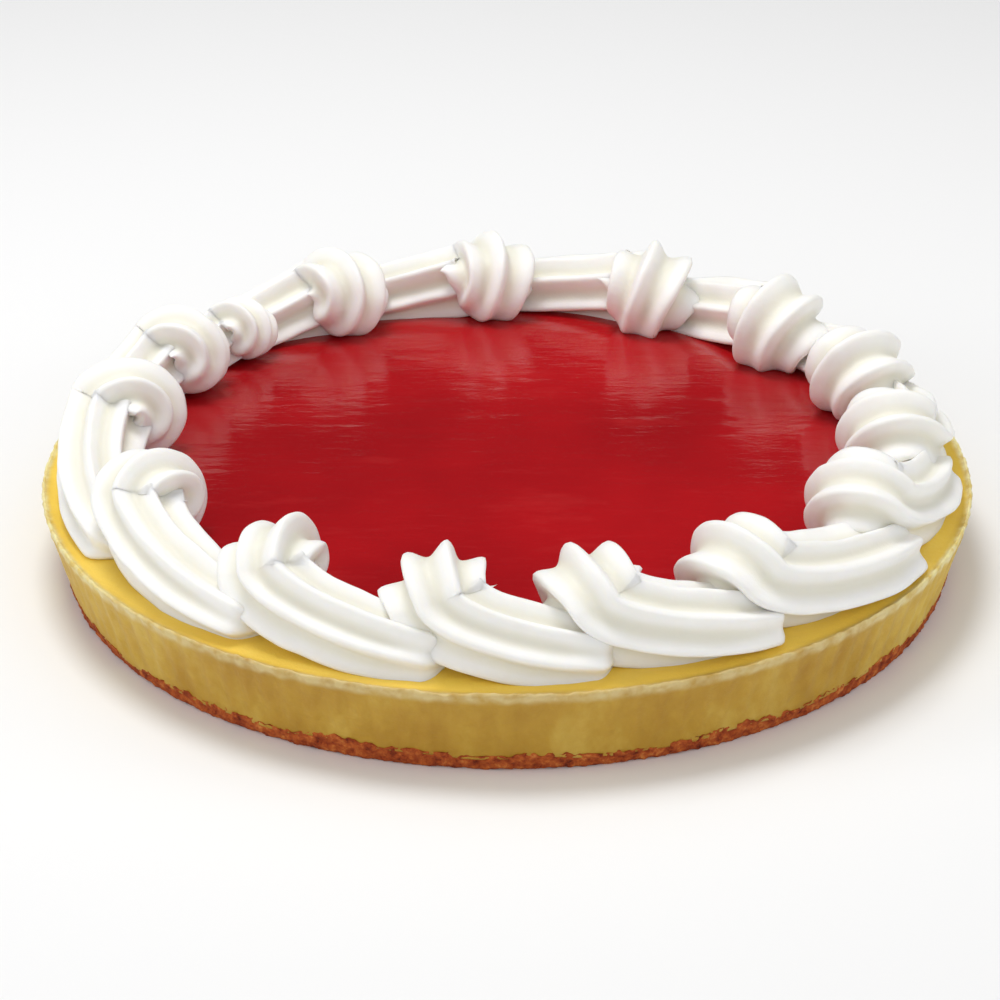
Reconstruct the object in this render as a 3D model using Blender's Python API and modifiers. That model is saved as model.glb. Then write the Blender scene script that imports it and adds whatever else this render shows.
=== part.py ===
# Strawberry cheesecake, uncut: crumb crust, pleated cheesecake body, strawberry glaze and a ring
# of piped cream swirls that run round the rim one after the other.
# Metres, +Z up. The cake rests on z = 0 with its axis on the Z axis; -Y is the front.

import math

import bmesh
import bpy
from mathutils import Vector

COLLECTION = "strawberry_cheesecake"
CUTTERS = "strawberry_cheesecake_cutters"

MM = 0.001
GAP = 0.3 * MM                      # clearance between touching pieces

# Crust and body
FOOT_RADIUS = 120.7 * MM            # where the crust meets the table
RIM_RADIUS = 127.0 * MM             # widest ring, just under the rim
RIM_EDGE_Z = 23.5 * MM              # height of the widest ring
RIM_CREST_RADIUS = 126.0 * MM
RIM_CREST_Z = 24.6 * MM
SKIN_RADIUS = 122.6 * MM            # low point of the band between rim and cream
SKIN_Z = 24.1 * MM
DOME_RADIUS = 88.0 * MM             # the top is level inside this radius
DOME_Z = 26.6 * MM                  # level of the middle of the glaze
SEAM_Z = 4.6 * MM                   # mean height of the crumb crust
SEAM_WAVE = 1.1 * MM                # how far the seam wanders up and down
PLEATS = 128                        # pleats the pan pressed round the side
PLEAT_DEPTH = 0.8 * MM
PLEAT_FADE = 6.0 * MM               # height over which a pleat grows above the seam
RING_STEPS = 2 * PLEATS             # one vertex on each pleat and one between

# Glaze
GLAZE_RADIUS = 110.0 * MM
GLAZE_THICKNESS = 1.8 * MM          # at its rim
GLAZE_EDGE = 0.5 * MM               # rounded upper edge of the glaze
GLAZE_STEPS = 72

# Cream swirls. In a swirl's own frame o points out from the cake's axis, t runs
# counter-clockwise along the ring and z points up from the middle of the glaze;
# lengths there are in millimetres.
RING_RADIUS = 104.0                 # ring that the swirls' curls are centred on
HEAD_ANGLES = (241.4, 265.6, 285.7, 308.0, 335.0, 358.0, 21.4, 44.7, 70.5,
               98.1, 124.1, 142.4, 158.5, 182.5, 213.4)
HEAD_SIZES = (0.97, 1.03, 1.08, 1.05, 1.0, 1.0, 1.02, 1.06, 1.02,
              0.92, 0.92, 0.6, 0.88, 1.0, 1.0)
HEAD_TILTS = (55.0, 45.0, 40.0, 22.0, 25.0, 30.0, 45.0, 50.0, 55.0,
              55.0, 60.0, 50.0, 55.0, 60.0, 62.0)
RIDGES = 8                          # ridges of the star nozzle
RIDGE_RATIO = 0.74                  # valley radius over ridge radius
CURL_BACK = -4.0                    # offset of the curl's axis along the ring
HEAD_TOP = 24.3                     # height of a curl over the middle of the glaze
CURL_START = math.radians(20.0)
CURL_END = math.radians(270.0)
AXIS_CLEARANCE = 0.6                # radius of the dimple left along the curl's axis
# Path radius, rope half-width and rise along the axis, each at quarter turns of the curl
CURL_RADII = (5.0, 6.0, 9.5, 10.0)
CURL_WIDTHS = (7.5, 9.0, 12.5, 11.2)
CURL_RISES = (0.0, 0.0, 1.5, 5.0)
TAIL_UNDER = 11.0                   # how far short of the next curl's axis a tail ends
TAIL_OUT = 7.0                      # o of the tail's end
TAIL_Z = 1.0                        # height of the rope's centre at the tail's end
TAIL_END_WIDTH = 9.0
TAIL_MID_WIDTH = 10.6
TAIL_PULL_START = 20.0              # lengths of the tail curve's end tangents
TAIL_PULL_END = 24.0
CURL_SECTIONS = 10
TAIL_SECTIONS = 8
CUT_GROW = 0.4                      # a curl is grown by this much to trim the tail under it
CUT_DEPTH = 2.0                     # how far the trimming solid reaches below the cream


def clear_scene():
    for ob in list(bpy.data.objects):
        bpy.data.objects.remove(ob)


def collection(name):
    found = bpy.data.collections.get(name) or bpy.data.collections.new(name)
    if found.name not in bpy.context.scene.collection.children:
        bpy.context.scene.collection.children.link(found)
    return found


def material(name, rgb, roughness):
    mat = bpy.data.materials.new(name)
    mat.use_nodes = True
    shader = mat.node_tree.nodes["Principled BSDF"]
    shader.inputs["Base Color"].default_value = (*rgb, 1.0)
    shader.inputs["Roughness"].default_value = roughness
    return mat


def smooth(x):
    x = min(1.0, max(0.0, x))
    return x * x * (3.0 - 2.0 * x)


def keyed(values, at):
    """Smooth run through evenly spaced values; at counts them from 0."""
    i = min(len(values) - 2, max(0, int(at)))
    return values[i] + (values[i + 1] - values[i]) * smooth(at - i)


def link_mesh(name, mesh, mat, group):
    ob = bpy.data.objects.new(name, mesh)
    group.objects.link(ob)
    ob.data.materials.clear()
    ob.data.materials.append(mat)
    return ob


def turned(name, profile, steps, mat, group):
    """Solid of revolution: profile lists (radius, z) down the outer side, top to bottom."""
    mesh = bpy.data.meshes.new(name)
    verts = [(r, 0.0, z) for r, z in profile]
    edges = [(i, i + 1) for i in range(len(verts) - 1)]
    mesh.from_pydata(verts, edges, [])
    ob = bpy.data.objects.new(name, mesh)
    group.objects.link(ob)
    screw = ob.modifiers.new("turn", "SCREW")
    screw.axis = "Z"
    screw.angle = 2.0 * math.pi
    screw.steps = steps
    screw.render_steps = steps
    screw.use_merge_vertices = True
    screw.merge_threshold = 0.00001
    graph = bpy.context.evaluated_depsgraph_get()
    solid = bpy.data.meshes.new_from_object(ob.evaluated_get(graph))
    bpy.data.objects.remove(ob)
    bpy.data.meshes.remove(mesh)
    solid.name = name
    return link_mesh(name, solid, mat, group)


def top_height(radius):
    """Height of the cake's top: level in the middle, falling gently to the rim's band."""
    fall = max(0.0, radius - DOME_RADIUS) / (SKIN_RADIUS - DOME_RADIUS)
    return DOME_Z - (DOME_Z - SKIN_Z) * fall


def side_radius(z):
    """Radius of the flared side at height z."""
    return FOOT_RADIUS + (RIM_RADIUS - FOOT_RADIUS) * z / RIM_EDGE_Z


def seam_height(angle):
    """Upper edge of the crumb crust, which wanders round the cake."""
    wave = (
        0.45 * math.sin(3.0 * angle + 0.6)
        + 0.35 * math.sin(7.0 * angle + 2.1)
        + 0.35 * math.sin(16.0 * angle + 0.4)
        + 0.30 * math.sin(29.0 * angle + 1.3)
    )
    return SEAM_Z + SEAM_WAVE * wave


def pleat(angle, z):
    """Inward offset of the side at a pleat, fading out towards the crust."""
    vary = 0.75 + 0.25 * math.sin(5.0 * angle + 1.0) * math.sin(11.0 * angle)
    fade = smooth((z - SEAM_Z) / PLEAT_FADE)
    return -0.5 * PLEAT_DEPTH * vary * fade * (1.0 - math.cos(PLEATS * angle))


def build_crust(mat, group):
    profile = [
        (0.0, SEAM_Z),
        (side_radius(SEAM_Z), SEAM_Z),
        (FOOT_RADIUS, 0.0),
        (0.0, 0.0),
    ]
    ob = turned("crumb_crust", profile, RING_STEPS, mat, group)
    for vert in ob.data.vertices:
        x, y, z = vert.co
        if z > 0.5 * SEAM_Z and math.hypot(x, y) > FOOT_RADIUS:
            angle = math.atan2(y, x)
            z = seam_height(angle)
            radius = side_radius(z)
            vert.co = (radius * math.cos(angle), radius * math.sin(angle), z)
    return ob


def build_body(mat, group):
    low = SEAM_Z + GAP
    recess_radius = GLAZE_RADIUS + GAP
    recess_z = top_height(GLAZE_RADIUS) - GLAZE_THICKNESS - GAP
    profile = [
        (0.0, recess_z),
        (recess_radius, recess_z),
        (recess_radius, top_height(recess_radius)),
        (SKIN_RADIUS, SKIN_Z),
        (RIM_CREST_RADIUS, RIM_CREST_Z),
        (RIM_RADIUS, RIM_EDGE_Z),
        (side_radius(low), low),
        (0.0, low),
    ]
    ob = turned("cheesecake", profile, RING_STEPS, mat, group)
    for vert in ob.data.vertices:
        x, y, z = vert.co
        radius = math.hypot(x, y)
        angle = math.atan2(y, x)
        if z < low + MM and radius > FOOT_RADIUS:
            z = seam_height(angle) + GAP
            radius = side_radius(z)
        elif radius > RIM_CREST_RADIUS - MM:
            radius += pleat(angle, z)
        vert.co = (radius * math.cos(angle), radius * math.sin(angle), z)
    return ob


def build_glaze(mat, group):
    edge_z = top_height(GLAZE_RADIUS)
    low = edge_z - GLAZE_THICKNESS
    shoulder = GLAZE_RADIUS - GLAZE_EDGE
    profile = [
        (0.0, DOME_Z),
        (DOME_RADIUS, DOME_Z),
        (shoulder, top_height(shoulder)),
        (GLAZE_RADIUS, edge_z - GLAZE_EDGE),
        (GLAZE_RADIUS, low),
        (0.0, low),
    ]
    return turned("strawberry_glaze", profile, GLAZE_STEPS, mat, group)


def curl_section(turn, tilt):
    """Centre, radial and axial directions, half-width and inner limit of the rope."""
    quarter = turn / (0.5 * math.pi)
    across = math.cos(turn)
    radial = Vector((-math.sin(turn), across * math.cos(tilt), -across * math.sin(tilt)))
    axial = Vector((0.0, math.sin(tilt), math.cos(tilt)))
    rho = keyed(CURL_RADII, quarter)
    width = keyed(CURL_WIDTHS, quarter)
    rise = keyed(CURL_RISES, quarter)
    top = CURL_RADII[2] * math.sin(tilt) + CURL_RISES[2] * math.cos(tilt) + CURL_WIDTHS[2]
    centre = Vector((0.0, CURL_BACK, HEAD_TOP - top)) + rho * radial + rise * axial
    return centre, radial, axial, width, AXIS_CLEARANCE - rho


def tail_section(run, tilt, reach):
    """Section of the tail: run goes from 0 at the curl to 1 at the tail's end."""
    begin, _, _, width, _ = curl_section(CURL_END, tilt)
    before = curl_section(CURL_END - 0.01, tilt)[0]
    end = Vector((TAIL_OUT, reach, TAIL_Z))
    pull_a = (begin - before).normalized() * TAIL_PULL_START
    pull_b = Vector((-0.1, 1.0, -0.1)).normalized() * TAIL_PULL_END
    u, u2, u3 = run, run * run, run * run * run
    centre = (
        begin * (2.0 * u3 - 3.0 * u2 + 1.0)
        + pull_a * (u3 - 2.0 * u2 + u)
        + end * (-2.0 * u3 + 3.0 * u2)
        + pull_b * (u3 - u2)
    )
    along = (
        begin * (6.0 * u2 - 6.0 * u)
        + pull_a * (3.0 * u2 - 4.0 * u + 1.0)
        + end * (-6.0 * u2 + 6.0 * u)
        + pull_b * (3.0 * u2 - 2.0 * u)
    ).normalized()
    out = Vector((1.0, 0.0, 0.0))
    side = (out - out.dot(along) * along).normalized()
    up = side.cross(along)
    width = keyed((width, TAIL_MID_WIDTH, TAIL_END_WIDTH), 2.0 * run)
    inner = AXIS_CLEARANCE - centre.x - 40.0 * smooth((centre.y - 8.0) / 14.0)
    return centre, side, up, width, inner


def floor_z(out, size):
    """Height of the cream's underside in a swirl's frame, at out from the ring."""
    radius = (RING_RADIUS + size * out) * MM
    return (top_height(radius) - DOME_Z) / (MM * size)


def star_outline(section, size, grow, below):
    """Star outline of the rope at one section, kept above the glaze."""
    centre, side, up, width, inner = section
    points = []
    for k in range(2 * RIDGES):
        angle = math.pi * k / RIDGES
        reach = (width + grow) * (1.0 if k % 2 else RIDGE_RATIO)
        x = max(reach * math.cos(angle), inner)
        point = centre + x * side + reach * math.sin(angle) * up
        drop = floor_z(point.x, size) - point.z
        if drop > 0.0:
            point = point + drop * (side.z * side + up.z * up) / (side.z ** 2 + up.z ** 2)
            point.z = floor_z(point.x, size) - below
        points.append(point)
    return points


def place(point, head_angle, size):
    """Point of a swirl's own frame put on the cake."""
    angle = math.radians(head_angle) + size * point.y / RING_RADIUS
    radius = (RING_RADIUS + size * point.x) * MM
    height = DOME_Z + GAP + size * point.z * MM
    return (radius * math.cos(angle), radius * math.sin(angle), height)


def swirl_mesh(name, number, grow, below):
    """Rope swept round its curl and along its tail."""
    head = HEAD_ANGLES[number]
    size = HEAD_SIZES[number]
    tilt = math.radians(HEAD_TILTS[number])
    after = (number + 1) % len(HEAD_ANGLES)
    step = math.radians((HEAD_ANGLES[after] - head) % 360.0)
    reach = (step * RING_RADIUS - TAIL_UNDER * HEAD_SIZES[after]) / size
    sections = []
    for i in range(CURL_SECTIONS):
        turn = CURL_START + (CURL_END - CURL_START) * i / (CURL_SECTIONS - 1)
        sections.append(curl_section(turn, tilt))
    for i in range(1, TAIL_SECTIONS + 1):
        sections.append(tail_section(i / TAIL_SECTIONS, tilt, reach))
    mesh = bmesh.new()
    rings = []
    for section in sections:
        outline = star_outline(section, size, grow, below)
        rings.append([mesh.verts.new(place(p, head, size)) for p in outline])
    count = len(rings[0])
    for one, two in zip(rings, rings[1:]):
        for i in range(count):
            j = (i + 1) % count
            mesh.faces.new((one[i], one[j], two[j]))
            mesh.faces.new((one[i], two[j], two[i]))
    mesh.faces.new(list(reversed(rings[0])))
    mesh.faces.new(rings[-1])
    bmesh.ops.recalc_face_normals(mesh, faces=mesh.faces)
    data = bpy.data.meshes.new(name)
    mesh.to_mesh(data)
    mesh.free()
    return data


def trim(ob, cutter):
    """Cuts cutter out of ob and drops the cutter."""
    cut = ob.modifiers.new("trim", "BOOLEAN")
    cut.operation = "DIFFERENCE"
    cut.solver = "EXACT"
    cut.object = cutter
    graph = bpy.context.evaluated_depsgraph_get()
    result = bpy.data.meshes.new_from_object(ob.evaluated_get(graph))
    ob.modifiers.clear()
    ob.data = result
    bpy.data.objects.remove(cutter)


def main():
    clear_scene()
    group = collection(COLLECTION)
    cutters = collection(CUTTERS)
    crust = material("crumb_crust", (0.52, 0.19, 0.05), 0.9)
    cheese = material("cheesecake", (0.82, 0.66, 0.22), 0.55)
    glaze = material("strawberry_glaze", (0.42, 0.012, 0.014), 0.12)
    cream = material("whipped_cream", (0.87, 0.85, 0.80), 0.6)
    build_crust(crust, group)
    build_body(cheese, group)
    build_glaze(glaze, group)
    count = len(HEAD_ANGLES)
    for number in range(count):
        name = "cream_swirl_%02d" % (number + 1)
        ob = link_mesh(name, swirl_mesh(name, number, 0.0, 0.0), cream, group)
        over = swirl_mesh("trimmer", (number + 1) % count, CUT_GROW, CUT_DEPTH)
        cutter = bpy.data.objects.new("trimmer", over)
        cutters.objects.link(cutter)
        trim(ob, cutter)


main()
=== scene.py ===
import math

import bpy
import numpy as np
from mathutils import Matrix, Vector


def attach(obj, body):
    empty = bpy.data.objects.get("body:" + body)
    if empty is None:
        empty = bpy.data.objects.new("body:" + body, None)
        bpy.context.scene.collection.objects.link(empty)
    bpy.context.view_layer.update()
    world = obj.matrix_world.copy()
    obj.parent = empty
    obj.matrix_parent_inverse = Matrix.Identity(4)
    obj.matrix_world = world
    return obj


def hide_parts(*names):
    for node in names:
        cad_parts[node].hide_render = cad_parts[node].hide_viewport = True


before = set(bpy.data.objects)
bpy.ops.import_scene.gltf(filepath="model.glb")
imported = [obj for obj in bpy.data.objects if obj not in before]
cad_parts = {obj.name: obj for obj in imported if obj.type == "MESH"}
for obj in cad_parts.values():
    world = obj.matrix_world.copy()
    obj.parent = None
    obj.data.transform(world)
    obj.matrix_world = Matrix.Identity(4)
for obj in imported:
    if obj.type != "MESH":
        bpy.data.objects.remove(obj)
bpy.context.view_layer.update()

MM = 0.001

# Crust, body and glaze, in millimetres
FOOT_RADIUS = 120.7
RIM_RADIUS = 127.0
RIM_EDGE_Z = 23.5
RIM_CREST_RADIUS = 126.0
RIM_CREST_Z = 24.6
SKIN_RADIUS = 122.6
SKIN_Z = 24.1
DOME_RADIUS = 88.0
DOME_Z = 26.6
SEAM_Z = 4.6
SEAM_WAVE = 1.1
RIGHT_RISE = 2.0                    # how much higher the crust is at the right
RIGHT_SPOT = (0.87, -0.5)           # direction of that place from the axis
RIGHT_SPREAD = 0.08
PLEATS = 128
PLEAT_DEPTH = 0.8
HIDDEN_RADIUS = 60.0                # where the closed pieces end inside the cake
BODY_AROUND = 1300
SIDE_ROWS = 46
RIM_ROWS = 8
BAND_ROWS = 22
BAND_START = 125.4                  # outer end of the band between rim and cream
BAND_END = 104.0
CRUST_AROUND = 1600
CRUST_ROWS = 15
GLAZE_RADIUS = 110.0
GLAZE_MARGIN = 0.4
GLAZE_RINGS = 84
GLAZE_AROUND = 600
# Offset and drop of the glaze's edge rows from its last ring
GLAZE_EDGE = ((0.3, -0.15), (0.4, -0.5), (0.4, -1.6), (-40.0, -1.6))

# Cream swirls. In a swirl's own frame the first axis points out from the cake's axis, the
# second runs along the ring and the third points up from the middle of the glaze.
RING_RADIUS = 104.0
HEAD_ANGLES = (241.4, 265.6, 285.7, 308.0, 335.0, 358.0, 21.4, 44.7, 70.5,
               98.1, 124.1, 142.4, 158.5, 182.5, 213.4)
HEAD_SIZES = (1.0, 1.03, 1.06, 1.08, 1.04, 1.04, 1.06, 1.12, 1.14,
              1.08, 1.08, 0.75, 1.0, 1.04, 1.02)
HIGHEST_HEAD = 24.9                 # height of a scaled head over the glaze
HEAD_TILTS = (72.0, 74.0, 72.0, 74.0, 74.0, 74.0, 72.0, 72.0, 70.0,
              70.0, 68.0, 66.0, 68.0, 66.0, 68.0)
HEAD_PHASES = (-15.0, 22.5, 5.0, 0.0, 10.0, 20.0, 8.0, 22.0, 15.0,
               5.0, 18.0, 0.0, 12.0, 6.0, 20.0)
CURL_YAW = 15.0                     # turn of the curl's axis towards the glaze
RIDGES = 8
RIDGE_RATIO = 0.64                  # valley radius over ridge radius
CURL_BACK = -7.5                    # offset of the curl's axis along the ring
HEAD_TOP = 24.3
HEAD_STRETCH = 1.16                 # stretch of the heads along the curl's axis
CURL_START = -20.0
CURL_END = 236.0
CAP_TURN = 45.0                     # turn over which the rope's rounded start grows
CAP_SHARE = 0.985
RIDGE_TURN = 130.0                  # turn over which the ridges grow
STRETCH_TURN = 110.0                # turn over which the stretch fades before the tail
# Path radius and rope half-width at quarter turns of the curl
CURL_RADII = (2.0, 3.5, 2.4, 5.0)
CURL_WIDTHS = (8.0, 12.0, 14.2, 12.2)
TAIL_UNDER = 5.5
TAIL_OUT = 9.2
TAIL_Z = -0.6
TAIL_END_WIDTH = 9.4
TAIL_MID_WIDTH = 12.0
TAIL_PULL_START = 19.0
TAIL_PULL_END = 26.0
TAIL_PULL_DIRECTION = (-0.1, 1.0, -0.1)
TAIL_SPACING = 1.3                  # power that packs the rows near the curl
TAIL_CLOSE = 0.88                   # share of the tail after which it narrows to its end
TAIL_FREE = 0.4                     # share of the tail over which its flat side rounds out
TAIL_FREE_DEPTH = 30.0
TAIL_RIDGE_LOSS = 0.35
TAIL_RIDGE_KEEP = 0.6
AXIS_CLEARANCE = 0.5                # radius of the dimple left along the curl's axis
AXIS_SOFTNESS = 0.8
FLOOR_SOFTNESS = 0.9                # how softly the cream settles on the top
FLOOR_DEPTH = 0.2
FLOOR_SINK = 0.25
WOBBLE = 0.32                       # unevenness of the ropes
WOBBLE_SIZE = 9.0
GROOVE_START = 0.55                 # share of the valleys' depth where their painted shade starts
# strength of the painted shade in the cream's grooves
GROOVE_SHADE_STRENGTH = 0.6
STAIN_HEIGHT = 2.2                  # height up to which the glaze tints the cream
STAIN_TINT = 0.5
STAIN_RADIUS = 112.0
HEAD_ROWS = 84
TAIL_ROWS = 56
AROUND = 112

# Stage, in metres
FLOOR_HALF = 6.0
LENS = 98.9
SENSOR = 36.0
CAMERA_TILT = 26.46
CAMERA_DISTANCE = 0.762
CAMERA_AIM = (-0.0019, 0.0, 0.01245)
LIGHT_AIM = (0.0, 0.0, 0.02)


# Helpers for curves, noise and meshes
def smooth(x):
    x = np.clip(x, 0.0, 1.0)
    return x * x * (3.0 - 2.0 * x)


def keyed(values, at):
    """Values at whole numbers, eased between one and the next."""
    values = np.asarray(values, float)
    at = np.asarray(at, float)
    i = np.clip(np.floor(at).astype(int), 0, len(values) - 2)
    return values[i] + (values[i + 1] - values[i]) * smooth(at - i)


def curved(values, at):
    """Smooth curve through evenly spaced values (Catmull-Rom)."""
    v = np.asarray(values, float)
    v = np.concatenate([[v[0]], v, [v[-1]]])
    i = np.clip(np.floor(at).astype(int), 0, len(v) - 4)
    f = at - i
    p0, p1, p2, p3 = v[i], v[i + 1], v[i + 2], v[i + 3]
    return 0.5 * (2 * p1 + (p2 - p0) * f + (2 * p0 - 5 * p1 + 4 * p2 - p3) * f ** 2
                  + (3 * p1 - p0 - 3 * p2 + p3) * f ** 3)


def hash3(i, j, k, seed):
    n = (i * 374761393 + j * 668265263 + k * 2147483647 + seed * 1274126177) & 0xFFFFFFFF
    n = ((n ^ (n >> 13)) * 1274126177) & 0xFFFFFFFF
    n = (n ^ (n >> 16)) & 0xFFFFFFFF
    return n.astype(float) / 4294967295.0 * 2.0 - 1.0


def noise(points, scale, seed):
    """Smooth value noise in -1..1 of points[..., 3], with cells of the given size."""
    p = np.asarray(points, float) / scale
    base = np.floor(p).astype(np.int64)
    f = p - base
    f = f * f * f * (f * (f * 6.0 - 15.0) + 10.0)
    total = 0.0
    for dx in (0, 1):
        for dy in (0, 1):
            for dz in (0, 1):
                w = (
                    (f[..., 0] if dx else 1.0 - f[..., 0])
                    * (f[..., 1] if dy else 1.0 - f[..., 1])
                    * (f[..., 2] if dz else 1.0 - f[..., 2])
                )
                total = total + w * hash3(
                    base[..., 0] + dx, base[..., 1] + dy, base[..., 2] + dz, seed
                )
    return total


def fractal(points, scale, seed, octaves, gain=0.5):
    """Layers of noise, each half the size of the one before."""
    total = 0.0
    weight = 1.0
    for n in range(octaves):
        total = total + weight * noise(points, scale / 2.0 ** n, seed + 17 * n)
        weight *= gain
    return total


def grid_object(name, grid, attrs=None):
    """Closed mesh object from rows of closed loops, in millimetres, with a cap at each end."""
    nu, nv = grid.shape[:2]
    verts = grid.reshape(-1, 3) * MM
    index = np.arange(nu * nv).reshape(nu, nv)
    a = index[:-1]
    b = index[1:]
    quads = np.stack([a, np.roll(a, -1, axis=1), np.roll(b, -1, axis=1), b], axis=-1)
    faces = quads.reshape(-1, 4).tolist()
    faces.append(index[0][::-1].tolist())
    faces.append(index[-1].tolist())
    mesh = bpy.data.meshes.new(name)
    mesh.from_pydata(verts.tolist(), [], faces)
    mesh.polygons.foreach_set("use_smooth", [True] * len(mesh.polygons))
    for key, values in (attrs or {}).items():
        layer = mesh.attributes.new(key, "FLOAT", "POINT")
        layer.data.foreach_set("value", np.asarray(values, np.float32).ravel())
    mesh.update()
    ob = bpy.data.objects.new(name, mesh)
    bpy.context.scene.collection.objects.link(ob)
    return ob


def top_height(radius):
    fall = np.maximum(0.0, radius - DOME_RADIUS) / (SKIN_RADIUS - DOME_RADIUS)
    return DOME_Z - (DOME_Z - SKIN_Z) * fall


def side_radius(z):
    return FOOT_RADIUS + (RIM_RADIUS - FOOT_RADIUS) * z / RIM_EDGE_Z


def seam_height(angle):
    wave = (
        0.45 * np.sin(3.0 * angle + 0.6)
        + 0.35 * np.sin(7.0 * angle + 2.1)
        + 0.35 * np.sin(16.0 * angle + 0.4)
        + 0.30 * np.sin(29.0 * angle + 1.3)
    )
    right_x = np.cos(angle) - RIGHT_SPOT[0]
    right_y = np.sin(angle) - RIGHT_SPOT[1]
    right = np.exp(-(right_x ** 2 + right_y ** 2) / RIGHT_SPREAD)
    return SEAM_Z + SEAM_WAVE * wave + RIGHT_RISE * right


# Materials
def new_material(name):
    mat = bpy.data.materials.new(name)
    mat.use_nodes = True
    tree = mat.node_tree
    return mat, tree, tree.nodes["Principled BSDF"]


def node(tree, kind, **sets):
    made = tree.nodes.new(kind)
    for key, value in sets.items():
        setattr(made, key, value)
    return made


def noise_node(tree, coords, scale, detail, rough=0.5, stretch=None):
    source = coords
    if stretch is not None:
        mapping = node(tree, "ShaderNodeMapping")
        mapping.inputs["Scale"].default_value = stretch
        tree.links.new(coords, mapping.inputs["Vector"])
        source = mapping.outputs["Vector"]
    made = node(tree, "ShaderNodeTexNoise")
    made.inputs["Scale"].default_value = scale
    made.inputs["Detail"].default_value = detail
    made.inputs["Roughness"].default_value = rough
    tree.links.new(source, made.inputs["Vector"])
    return made.outputs["Fac"]


def ramp(tree, value, stops):
    made = node(tree, "ShaderNodeValToRGB")
    element = made.color_ramp.elements
    while len(element) < len(stops):
        element.new(0.5)
    for slot, (at, colour) in zip(element, stops):
        slot.position = at
        slot.color = (*colour, 1.0)
    tree.links.new(value, made.inputs["Fac"])
    return made.outputs["Color"]


def mix(tree, fac, a, b, blend="MIX"):
    made = node(tree, "ShaderNodeMix", data_type="RGBA", blend_type=blend)
    for value, socket in ((fac, made.inputs["Factor"]), (a, made.inputs[6]), (b, made.inputs[7])):
        if isinstance(value, bpy.types.NodeSocket):
            tree.links.new(value, socket)
        else:
            socket.default_value = (*value, 1.0)
    return made.outputs[2]


def maths(tree, operation, a, b=None, c=None):
    made = node(tree, "ShaderNodeMath", operation=operation)
    for n, value in enumerate((a, b, c)):
        if value is None:
            continue
        if isinstance(value, bpy.types.NodeSocket):
            tree.links.new(value, made.inputs[n])
        else:
            made.inputs[n].default_value = value
    return made.outputs[0]


def attribute(tree, name):
    made = node(tree, "ShaderNodeAttribute", attribute_name=name)
    return made.outputs["Fac"]


def bump(tree, height, strength, distance):
    made = node(tree, "ShaderNodeBump")
    made.inputs["Strength"].default_value = strength
    made.inputs["Distance"].default_value = distance
    tree.links.new(height, made.inputs["Height"])
    return made.outputs["Normal"]


def cream_material():
    mat, tree, shader = new_material("whipped_cream_look")
    coords = node(tree, "ShaderNodeTexCoord").outputs["Object"]
    cloud = noise_node(tree, coords, 120.0, 4.0)
    colour = ramp(tree, cloud, [(0.35, (0.885, 0.875, 0.845)), (0.65, (0.91, 0.902, 0.875))])
    # Painted shade: a darker ochre-grey in the deep valleys, standing in for the shade that falls
    # into the grooves
    painted_groove_shade = attribute(tree, "painted_groove_shade")
    colour = mix(tree, painted_groove_shade, colour, (0.76, 0.73, 0.58))
    low = attribute(tree, "low")
    colour = mix(tree, low, colour, (0.86, 0.66, 0.62))
    tree.links.new(colour, shader.inputs["Base Color"])
    shader.inputs["Roughness"].default_value = 0.5
    shader.inputs["Specular IOR Level"].default_value = 0.35
    shader.inputs["Subsurface Weight"].default_value = 0.35
    shader.inputs["Subsurface Radius"].default_value = (1.0, 0.85, 0.6)
    shader.inputs["Subsurface Scale"].default_value = 0.003
    fine = noise_node(tree, coords, 900.0, 3.0, 0.6)
    tree.links.new(bump(tree, fine, 0.12, 0.0006), shader.inputs["Normal"])
    return mat


def glaze_material():
    mat, tree, shader = new_material("strawberry_glaze_look")
    coords = node(tree, "ShaderNodeTexCoord").outputs["Object"]
    wide = noise_node(tree, coords, 14.0, 3.0)
    colour = ramp(tree, wide, [(0.3, (0.28, 0.0030, 0.006)), (0.7, (0.42, 0.0055, 0.009))])
    # Painted reflection: paler red streaks stretched sideways, standing in for the streaky
    # reflections on the rippled glaze
    painted_reflection_streak = noise_node(tree, coords, 60.0, 5.0, 0.6, (0.35, 1.0, 1.0))
    pale = ramp(tree, painted_reflection_streak, [(0.58, (0.0, 0.0, 0.0)), (0.75, (0.35, 0.35, 0.35))])
    colour = mix(tree, pale, colour, (0.50, 0.03, 0.03))
    tree.links.new(colour, shader.inputs["Base Color"])
    shader.inputs["Roughness"].default_value = 0.14
    shader.inputs["Specular IOR Level"].default_value = 0.17
    shader.inputs["Coat Weight"].default_value = 0.03
    shader.inputs["Coat Roughness"].default_value = 0.05
    fine = noise_node(tree, coords, 190.0, 4.0, 0.6, (0.28, 1.0, 1.0))
    tree.links.new(bump(tree, fine, 0.3, 0.0011), shader.inputs["Normal"])
    return mat


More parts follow.
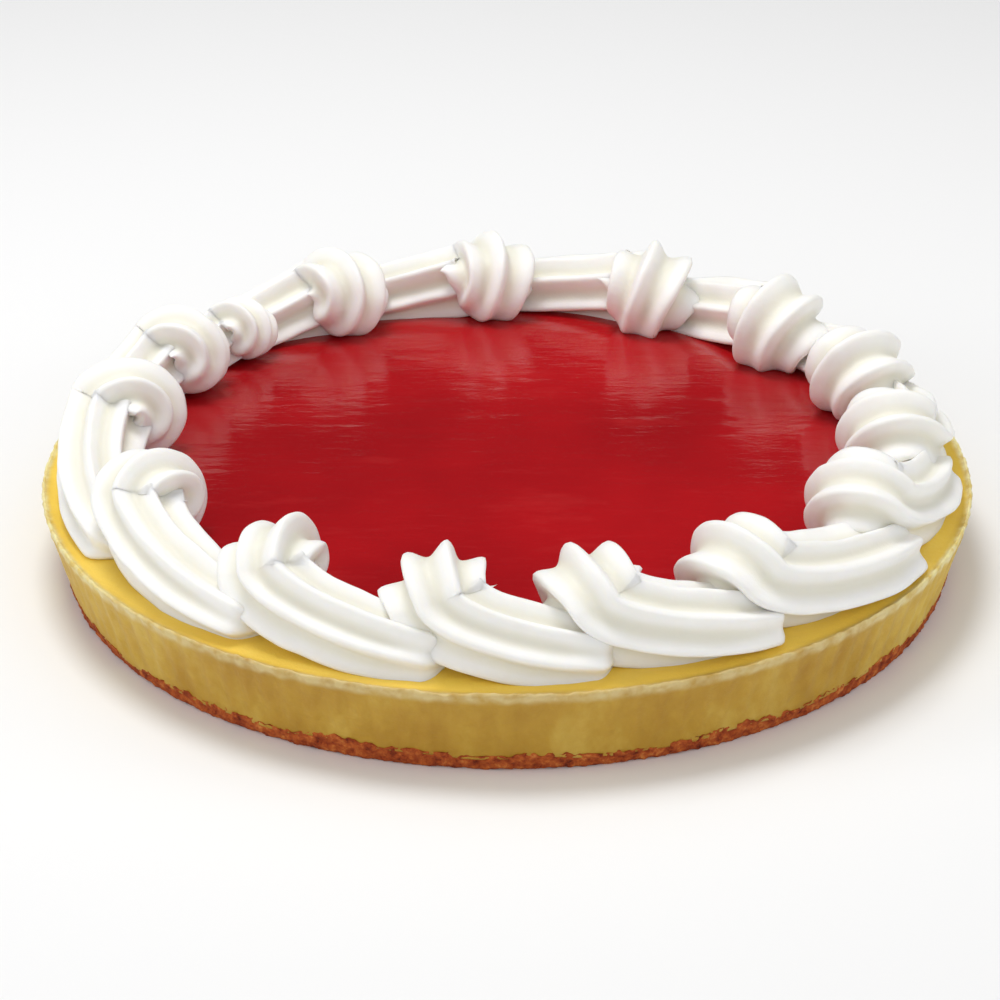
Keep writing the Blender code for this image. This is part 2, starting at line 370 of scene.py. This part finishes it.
def cheese_material():
    mat, tree, shader = new_material("cheesecake_look")
    coords = node(tree, "ShaderNodeTexCoord").outputs["Object"]
    wide = noise_node(tree, coords, 60.0, 5.0, 0.6, (1.0, 1.0, 0.55))
    colour = ramp(tree, wide, [(0.32, (0.52, 0.31, 0.020)), (0.52, (0.64, 0.43, 0.045)),
                               (0.72, (0.79, 0.62, 0.13))])
    rim = attribute(tree, "rim")
    torn = noise_node(tree, coords, 260.0, 3.0)
    pale = maths(tree, "MULTIPLY", rim, maths(tree, "MULTIPLY_ADD", torn, 2.4, -0.55))
    pale = maths(tree, "MINIMUM", maths(tree, "MAXIMUM", pale, 0.0), 0.85)
    colour = mix(tree, pale, colour, (0.86, 0.80, 0.45))
    # Painted shade: the side facing the front is darkened, standing in for the shade that falls
    # there
    front = attribute(tree, "front")
    colour = mix(tree, front, colour, (0.76, 0.66, 0.55), "MULTIPLY")
    skin = attribute(tree, "skin")
    colour = mix(tree, skin, colour, (0.95, 0.66, 0.09))
    tree.links.new(colour, shader.inputs["Base Color"])
    shader.inputs["Roughness"].default_value = 0.48
    shader.inputs["Specular IOR Level"].default_value = 0.4
    shader.inputs["Subsurface Weight"].default_value = 0.15
    shader.inputs["Subsurface Radius"].default_value = (1.0, 0.7, 0.25)
    shader.inputs["Subsurface Scale"].default_value = 0.002
    fine = noise_node(tree, coords, 420.0, 4.0, 0.6)
    tree.links.new(bump(tree, fine, 0.35, 0.0008), shader.inputs["Normal"])
    return mat


def crust_material():
    mat, tree, shader = new_material("crumb_crust_look")
    coords = node(tree, "ShaderNodeTexCoord").outputs["Object"]
    grain = noise_node(tree, coords, 420.0, 5.0, 0.65)
    # Crumb tones that vary at random; part of their reddish cast is painted reflection of a board
    # beneath the cake
    colour = ramp(tree, grain, [(0.30, (0.10, 0.012, 0.004)), (0.43, (0.32, 0.050, 0.010)),
                                (0.58, (0.50, 0.115, 0.022)), (0.74, (0.72, 0.29, 0.07))])
    tree.links.new(colour, shader.inputs["Base Color"])
    shader.inputs["Roughness"].default_value = 0.85
    shader.inputs["Specular IOR Level"].default_value = 0.25
    tree.links.new(bump(tree, grain, 0.8, 0.0012), shader.inputs["Normal"])
    return mat


# Whipped cream swirls
def star_profile(count, phase):
    """Outline of the nozzle's star: ridges of the given ratio with hollow flanks."""
    angle = np.arange(count) * 2.0 * math.pi / count
    half = math.pi / RIDGES
    local = np.abs((angle - phase + half) % (2.0 * half) - half) / half
    outline = 1.0 - (1.0 - RIDGE_RATIO) * np.sin(0.5 * math.pi * local)
    kernel = np.array([0.12, 0.2, 0.36, 0.2, 0.12])
    padded = np.concatenate([outline[-2:], outline, outline[:2]])
    return np.convolve(padded, kernel, "valid"), angle


def unit(v):
    return v / np.linalg.norm(v, axis=-1, keepdims=True)


def curl_axes(tilt):
    ct, st = math.cos(tilt), math.sin(tilt)
    cy, sy = math.cos(math.radians(CURL_YAW)), math.sin(math.radians(CURL_YAW))
    down = np.array([-sy * ct, cy * ct, -st])
    inward = np.array([-cy, -sy, 0.0])
    axis = np.array([-sy * st, cy * st, ct])
    return down, inward, axis


def swirl_rows(tilt, reach, head_top):
    """Centres, side and up directions, half-widths, inner limits and ridge shares of one
    swirl, a row for each section. The tail's sections are carried along without twist."""
    start, stop = math.radians(CURL_START), math.radians(CURL_END)
    down, inward, axis = curl_axes(tilt)
    turn = np.linspace(start, stop, HEAD_ROWS)
    quarter = np.maximum(turn, 0.0) / (0.5 * math.pi)
    radial = np.cos(turn)[:, None] * down + np.sin(turn)[:, None] * inward
    rho = curved(CURL_RADII, quarter)
    width = curved(CURL_WIDTHS, quarter)
    top = (CURL_RADII[2] + CURL_WIDTHS[2] * 0.97) * math.sin(tilt)
    base = np.array([0.0, CURL_BACK, head_top - top])
    centre = base + rho[:, None] * radial
    inner = AXIS_CLEARANCE - rho
    cap = np.clip((turn - start) / math.radians(CAP_TURN), 0.0, 1.0)
    width = width * np.sqrt(1.0 - (1.0 - cap) ** 2 * CAP_SHARE)
    begin = centre[-1]
    heading = -math.sin(stop) * down + math.cos(stop) * inward
    end = np.array([TAIL_OUT, reach, TAIL_Z])
    pull_a = heading * TAIL_PULL_START
    pull_b = unit(np.array(TAIL_PULL_DIRECTION)) * TAIL_PULL_END
    u = np.linspace(0.0, 1.0, TAIL_ROWS + 1)[1:, None] ** TAIL_SPACING
    tail = (
        begin * (2 * u ** 3 - 3 * u ** 2 + 1)
        + pull_a * (u ** 3 - 2 * u ** 2 + u)
        + end * (-2 * u ** 3 + 3 * u ** 2)
        + pull_b * (u ** 3 - u ** 2)
    )
    run = u[:, 0]
    tail_width = keyed((width[-1], TAIL_MID_WIDTH, TAIL_END_WIDTH), 2.0 * run)
    closing = smooth((run - TAIL_CLOSE) / (1.0 - TAIL_CLOSE))
    tail_width = tail_width * np.sqrt(1.0 - closing * 0.9)
    along = np.gradient(np.concatenate([begin[None, :] - pull_a * 0.01, tail]), axis=0)[1:]
    tangent = unit(along)
    tail_side = np.zeros_like(tangent)
    carried = radial[-1]
    for k in range(TAIL_ROWS):
        carried = unit(carried - carried.dot(tangent[k]) * tangent[k])
        tail_side[k] = carried
    tail_up = np.cross(tail_side, tangent)
    centre = np.concatenate([centre, tail])
    width = np.concatenate([width, tail_width])
    inner = np.concatenate([inner, inner[-1] - TAIL_FREE_DEPTH * smooth(run / TAIL_FREE)])
    side = np.concatenate([radial, tail_side])
    up = np.concatenate([np.repeat(axis[None, :], HEAD_ROWS, axis=0), tail_up])
    ridge_fade = smooth((run - TAIL_RIDGE_KEEP) / (1.0 - TAIL_RIDGE_KEEP))
    ridged = np.concatenate([smooth((turn - start) / math.radians(RIDGE_TURN)),
                             1.0 - TAIL_RIDGE_LOSS * ridge_fade])
    bulge = smooth((stop - turn) / math.radians(STRETCH_TURN))
    stretch = 1.0 + (HEAD_STRETCH - 1.0) * np.concatenate([bulge, 0.0 * run])
    return centre, side, up * stretch[:, None], width, inner, ridged


def build_swirl(number, mat):
    head = HEAD_ANGLES[number]
    size = HEAD_SIZES[number]
    tilt = math.radians(HEAD_TILTS[number])
    after = (number + 1) % len(HEAD_ANGLES)
    step = math.radians((HEAD_ANGLES[after] - head) % 360.0)
    reach = (step * RING_RADIUS - TAIL_UNDER * HEAD_SIZES[after]) / size
    head_top = min(HEAD_TOP, HIGHEST_HEAD / size)
    centre, side, up, width, inner, ridged = swirl_rows(tilt, reach, head_top)
    outline, psi = star_profile(AROUND, math.radians(HEAD_PHASES[number]))
    seed = 100 + 13 * number
    ridge_gain = 1.0 + 0.05 * np.sin(psi * 3.0 + number) + 0.03 * np.sin(psi * 5.0 + 2.0 * number)
    depth = (1.0 - outline)[None, :] * ridged[:, None]
    reach_r = width[:, None] * (1.0 - depth) * ridge_gain[None, :]
    x = reach_r * np.cos(psi)
    over = x - inner[:, None]
    x = inner[:, None] + 0.5 * (over + np.sqrt(over ** 2 + AXIS_SOFTNESS))
    y = reach_r * np.sin(psi)
    offsets = x[..., None] * side[:, None, :] + y[..., None] * up[:, None, :]
    points = centre[:, None, :] + offsets
    wobble = fractal(points + 31.0 * number, WOBBLE_SIZE, seed, 2)
    normal = unit(offsets)
    points = points + normal * (WOBBLE * wobble)[..., None]
    radius = RING_RADIUS + size * points[..., 0]
    floor = (top_height(radius) - DOME_Z) / size - FLOOR_DEPTH
    above = points[..., 2] - floor
    settled = 0.5 * (above + np.sqrt(above ** 2 + FLOOR_SOFTNESS ** 2))
    points[..., 2] = floor + settled - FLOOR_SINK
    angle = math.radians(head) + size * points[..., 1] / RING_RADIUS
    world = np.stack(
        [radius * np.cos(angle), radius * np.sin(angle), DOME_Z + size * points[..., 2]], axis=-1
    )
    # Painted shade mask: strongest in the deepest valleys between the ridges
    painted_groove_shade = smooth((depth / depth.max() - GROOVE_START) / (1.0 - GROOVE_START)) * GROOVE_SHADE_STRENGTH
    low = smooth(1.0 - (world[..., 2] - top_height(radius)) / STAIN_HEIGHT) * STAIN_TINT
    low = low * (world[..., 0] ** 2 + world[..., 1] ** 2 < STAIN_RADIUS ** 2)
    name = "cream_swirl_%02d" % (number + 1)
    ob = grid_object("look_" + name, world, {"painted_groove_shade": painted_groove_shade, "low": low})
    ob.data.materials.append(mat)
    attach(ob, "root")
    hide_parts(name)


# Cheesecake, crust and glaze
def build_body(mat):
    around = BODY_AROUND
    theta = np.arange(around) * 2.0 * math.pi / around
    circle = np.stack([np.cos(theta), np.sin(theta)], axis=-1)

    def spot(radius, height):
        return np.stack([circle[:, 0] * radius, circle[:, 1] * radius,
                         np.full(around, height)], axis=-1)

    crest_noise = fractal(spot(RIM_RADIUS, 0.0), 7.0, 3, 3)
    fine_noise = fractal(spot(RIM_RADIUS, 0.0), 1.6, 5, 2)
    crest_z = RIM_CREST_Z - 0.25 + 0.22 * crest_noise + 0.18 * fine_noise
    crest_r = RIM_CREST_RADIUS + 0.15 * crest_noise
    seam = seam_height(theta)
    rows = []
    rim = []
    skin = []
    rows.append(np.stack([0 * theta + HIDDEN_RADIUS, seam * 0 + 3.0], axis=-1))
    rim.append(0.0)
    skin.append(0.0)
    pitch = PLEATS * theta + 1.6 * noise(spot(60.0, 0.0), 9.0, 11)
    vary = 0.65 + 0.35 * noise(spot(RIM_RADIUS, 9.0), 16.0, 21)
    for k in range(SIDE_ROWS):
        v = k / (SIDE_ROWS - 1.0)
        z = (seam - 1.2) + (RIM_EDGE_Z - seam + 1.2) * v
        fade = smooth((z - seam) / 5.0) * (1.0 - 0.45 * smooth((v - 0.75) / 0.25))
        press = -0.5 * PLEAT_DEPTH * vary * fade * (1.0 - np.cos(pitch))
        place = np.stack([circle[:, 0] * RIM_RADIUS, circle[:, 1] * RIM_RADIUS, z], axis=-1)
        rough = 0.16 * fractal(place, 3.2, 33, 3) * (0.4 + 0.6 * fade)
        rough += 0.22 * smooth((v - 0.8) / 0.2) * fractal(place, 2.2, 44, 2)
        rows.append(np.stack([side_radius(z) + press + rough - 0.25, z], axis=-1))
        rim.append(float(smooth((v - 0.86) / 0.12)))
        skin.append(0.0)
    for k in range(1, RIM_ROWS):
        a = k / RIM_ROWS * math.pi
        radius = 0.5 * (RIM_RADIUS + crest_r) - 0.2 + 0.55 * math.cos(a)
        lift = math.sin(a)
        z = RIM_EDGE_Z + (crest_z - RIM_EDGE_Z) * lift
        place = np.stack([circle[:, 0] * radius, circle[:, 1] * radius, z], axis=-1)
        rows.append(np.stack([radius - 0.15 + 0.25 * fractal(place, 1.8, 55, 2), z], axis=-1))
        rim.append(1.0)
        skin.append(0.0)
    for k in range(1, BAND_ROWS):
        v = k / (BAND_ROWS - 1.0)
        radius = BAND_START - (BAND_START - BAND_END) * v
        dip = SKIN_Z - 0.2 - 0.25 * math.sin(math.pi * min(1.0, v / 0.35))
        z = np.where(radius > SKIN_RADIUS, dip + 0.35 * smooth((radius - 124.6) / 0.8),
                     top_height(radius) - 0.15)
        place = np.stack([circle[:, 0] * radius, circle[:, 1] * radius, 0 * theta], axis=-1)
        z = z + 0.06 * fractal(place, 5.0, 66, 2)
        rows.append(np.stack([radius + 0 * theta, z], axis=-1))
        rim.append(0.0)
        skin.append(float(smooth((BAND_START - radius) / 1.5)) * 0.8)
    grid = np.stack(rows)
    world = np.stack([grid[..., 0] * circle[:, 0], grid[..., 0] * circle[:, 1], grid[..., 1]],
                     axis=-1)
    rim = np.repeat(np.array(rim)[:, None], around, axis=1)
    skin = np.repeat(np.array(skin)[:, None], around, axis=1)
    # Painted shade mask: rises towards the front of the cake
    front = np.repeat(smooth((-circle[:, 1] - 0.35) / 0.5)[None, :], len(rows), axis=0)
    ob = grid_object("look_cheesecake", world, {"rim": rim, "skin": skin, "front": front})
    ob.data.materials.append(mat)
    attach(ob, "root")
    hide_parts("cheesecake")


def build_crust(mat):
    around = CRUST_AROUND
    theta = np.arange(around) * 2.0 * math.pi / around
    circle = np.stack([np.cos(theta), np.sin(theta)], axis=-1)
    flat = np.stack([circle[:, 0] * 125.0, circle[:, 1] * 125.0, 0 * theta], axis=-1)
    edge = seam_height(theta) + 0.7 * fractal(flat, 2.6, 71, 2) + 0.5 * noise(flat, 1.1, 72)
    rows = [np.stack([0 * theta + HIDDEN_RADIUS, 0 * theta + 0.02], axis=-1)]
    rows.append(np.stack([0 * theta + 119.6, 0 * theta + 0.02], axis=-1))
    for k in range(CRUST_ROWS):
        v = k / (CRUST_ROWS - 1.0)
        z = 0.05 + (edge - 0.05) * v
        place = np.stack([circle[:, 0] * 124.0, circle[:, 1] * 124.0, z], axis=-1)
        crumb = 0.34 * fractal(place, 1.7, 81, 3, 0.6)
        radius = side_radius(z) - 0.15 + crumb - 0.5 * smooth(1.0 - z / 0.9)
        rows.append(np.stack([np.minimum(radius, side_radius(z) + 0.3), z], axis=-1))
    rows.append(np.stack([side_radius(edge) - 1.4, edge - 0.1], axis=-1))
    rows.append(np.stack([0 * theta + HIDDEN_RADIUS, 0 * theta + 2.6], axis=-1))
    grid = np.stack(rows)
    world = np.stack([grid[..., 0] * circle[:, 0], grid[..., 0] * circle[:, 1], grid[..., 1]],
                     axis=-1)
    ob = grid_object("look_crumb_crust", world)
    ob.data.materials.append(mat)
    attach(ob, "root")
    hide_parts("crumb_crust")


def build_glaze(mat):
    theta = np.arange(GLAZE_AROUND) * 2.0 * math.pi / GLAZE_AROUND
    radius = np.linspace(GLAZE_MARGIN, GLAZE_RADIUS - GLAZE_MARGIN, GLAZE_RINGS)
    r, t = np.meshgrid(radius, theta, indexing="ij")
    x, y = r * np.cos(t), r * np.sin(t)
    place = np.stack([x * 0.6, y * 1.4, 0 * x], axis=-1)
    z = top_height(r) + 0.10 * fractal(place, 26.0, 91, 2) + 0.05 * fractal(place, 6.0, 92, 3)
    top = np.stack([x, y, z], axis=-1)
    wall = []
    for dr, dz in GLAZE_EDGE:
        rr = radius[-1] + dr
        wall.append(np.stack([rr * np.cos(theta), rr * np.sin(theta),
                              0 * theta + top_height(radius[-1]) + dz], axis=-1))
    world = np.concatenate([top, np.stack(wall)])
    ob = grid_object("look_strawberry_glaze", world[::-1])
    ob.data.materials.append(mat)
    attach(ob, "root")
    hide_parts("strawberry_glaze")


# Floor, light and camera
def build_stage():
    mesh = bpy.data.meshes.new("stage_floor")
    r = FLOOR_HALF
    mesh.from_pydata([(-r, -r, 0.0), (r, -r, 0.0), (r, r, 0.0), (-r, r, 0.0)], [], [(0, 1, 2, 3)])
    floor = bpy.data.objects.new("stage_floor", mesh)
    bpy.context.scene.collection.objects.link(floor)
    mat, _, shader = new_material("stage_floor")
    shader.inputs["Base Color"].default_value = (0.86, 0.86, 0.86, 1.0)
    shader.inputs["Roughness"].default_value = 0.9
    floor.data.materials.append(mat)
    world = bpy.data.worlds.new("studio")
    world.use_nodes = True
    tree = world.node_tree
    back = tree.nodes["Background"]
    ray = node(tree, "ShaderNodeTexCoord").outputs["Generated"]
    split = node(tree, "ShaderNodeSeparateXYZ")
    tree.links.new(ray, split.inputs[0])
    level = maths(tree, "MULTIPLY_ADD", split.outputs["Y"], -0.55, split.outputs["Z"])
    tree.links.new(ramp(tree, level, [(0.05, (0.10, 0.10, 0.10)), (0.45, (1.0, 1.0, 1.0))]),
                   back.inputs[0])
    back.inputs[1].default_value = 0.66
    bpy.context.scene.world = world

    def area(name, place, size, power):
        light = bpy.data.lights.new(name, "AREA")
        light.shape = "DISK"
        light.size = size
        light.energy = power
        ob = bpy.data.objects.new(name, light)
        ob.location = place
        towards = Vector(LIGHT_AIM) - Vector(place)
        ob.rotation_euler = towards.to_track_quat("-Z", "Y").to_euler()
        bpy.context.scene.collection.objects.link(ob)

    area("top", (-0.15, 0.16, 1.0), 0.45, 5.2)
    area("right", (1.0, -0.1, 0.45), 0.4, 1.2)
    area("left", (-1.0, -0.2, 0.45), 0.4, 1.7)
    area("front", (0.0, -1.1, 0.55), 0.7, 1.1)

    bpy.context.scene.view_settings.view_transform = "Standard"
    cam = bpy.data.cameras.new("camera")
    cam.lens = LENS
    cam.sensor_width = SENSOR
    ob = bpy.data.objects.new("camera", cam)
    tilt = math.radians(CAMERA_TILT)
    forward = Vector((0.0, math.cos(tilt), -math.sin(tilt)))
    ob.location = Vector(CAMERA_AIM) - CAMERA_DISTANCE * forward
    ob.rotation_euler = (math.radians(90.0) - tilt, 0.0, 0.0)
    bpy.context.scene.collection.objects.link(ob)
    bpy.context.scene.camera = ob


cream = cream_material()
for number in range(len(HEAD_ANGLES)):
    build_swirl(number, cream)
build_body(cheese_material())
build_crust(crust_material())
build_glaze(glaze_material())
build_stage()
